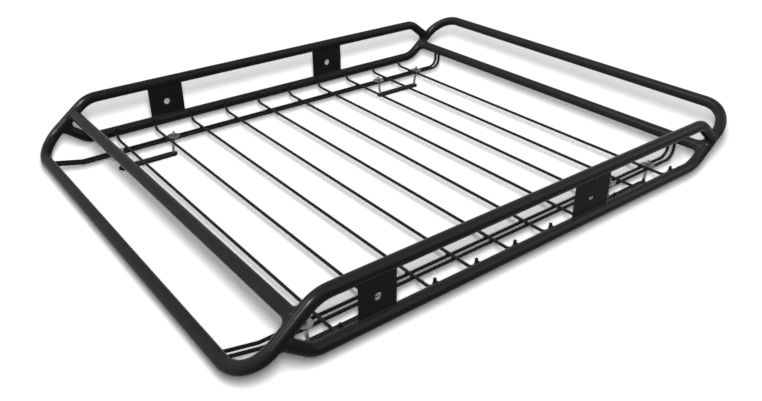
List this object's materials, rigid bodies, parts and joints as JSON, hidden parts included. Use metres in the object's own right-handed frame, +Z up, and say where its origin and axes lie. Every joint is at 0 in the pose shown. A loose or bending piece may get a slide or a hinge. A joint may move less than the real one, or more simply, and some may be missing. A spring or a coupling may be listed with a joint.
{
  "type": "roof basket",
  "caption": "Open cargo basket of bent tube for a car roof, with a rod floor and clamps that hold it on a rack's cross bars.",
  "frame": {"origin": "centre of the basket's bounding box, on the level of the bolt heads that it lies on", "axes": "+X along the basket towards the hoop that slopes up, +Y across it to the far side, +Z up"},
  "size_m": [1.3064, 1.0252, 0.1865],
  "materials": {
    "frame_black": "satin black powder coat",
    "rod_black": "satin black powder coat",
    "plate_black": "matt black powder coat",
    "zinc": "dull zinc plating"
  },
  "bodies": {
    "root": {"near_top_rail": "frame_black", "far_top_rail": "frame_black", "near_bottom_rail": "frame_black", "far_bottom_rail": "frame_black", "left_hoop": "frame_black", "right_hoop": "frame_black", "left_cross_tube": "frame_black", "right_cross_tube": "frame_black", "slat_01": "rod_black", "slat_02": "rod_black", "slat_03": "rod_black", "slat_04": "rod_black", "slat_05": "rod_black", "slat_06": "rod_black", "slat_07": "rod_black", "slat_08": "rod_black", "slat_09": "rod_black", "slat_10": "rod_black", "runner_near_outer": "rod_black", "runner_near_inner": "rod_black", "runner_far_outer": "rod_black", "runner_far_inner": "rod_black", "plate_near_left": "plate_black", "plate_near_right": "plate_black", "plate_far_left": "plate_black", "plate_far_right": "plate_black", "clamp_bar_near_left": "plate_black", "clamp_bar_near_right": "plate_black", "clamp_bar_far_left": "plate_black", "clamp_bar_far_right": "plate_black", "washers_near_left": "zinc", "washers_near_right": "zinc", "washers_far_left": "zinc", "washers_far_right": "zinc", "bolts_near_left": "zinc", "bolts_near_right": "zinc", "bolts_far_left": "zinc", "bolts_far_right": "zinc", "nuts_near_left": "zinc", "nuts_near_right": "zinc", "nuts_far_left": "zinc", "nuts_far_right": "zinc"}
  },
  "joints": []
}
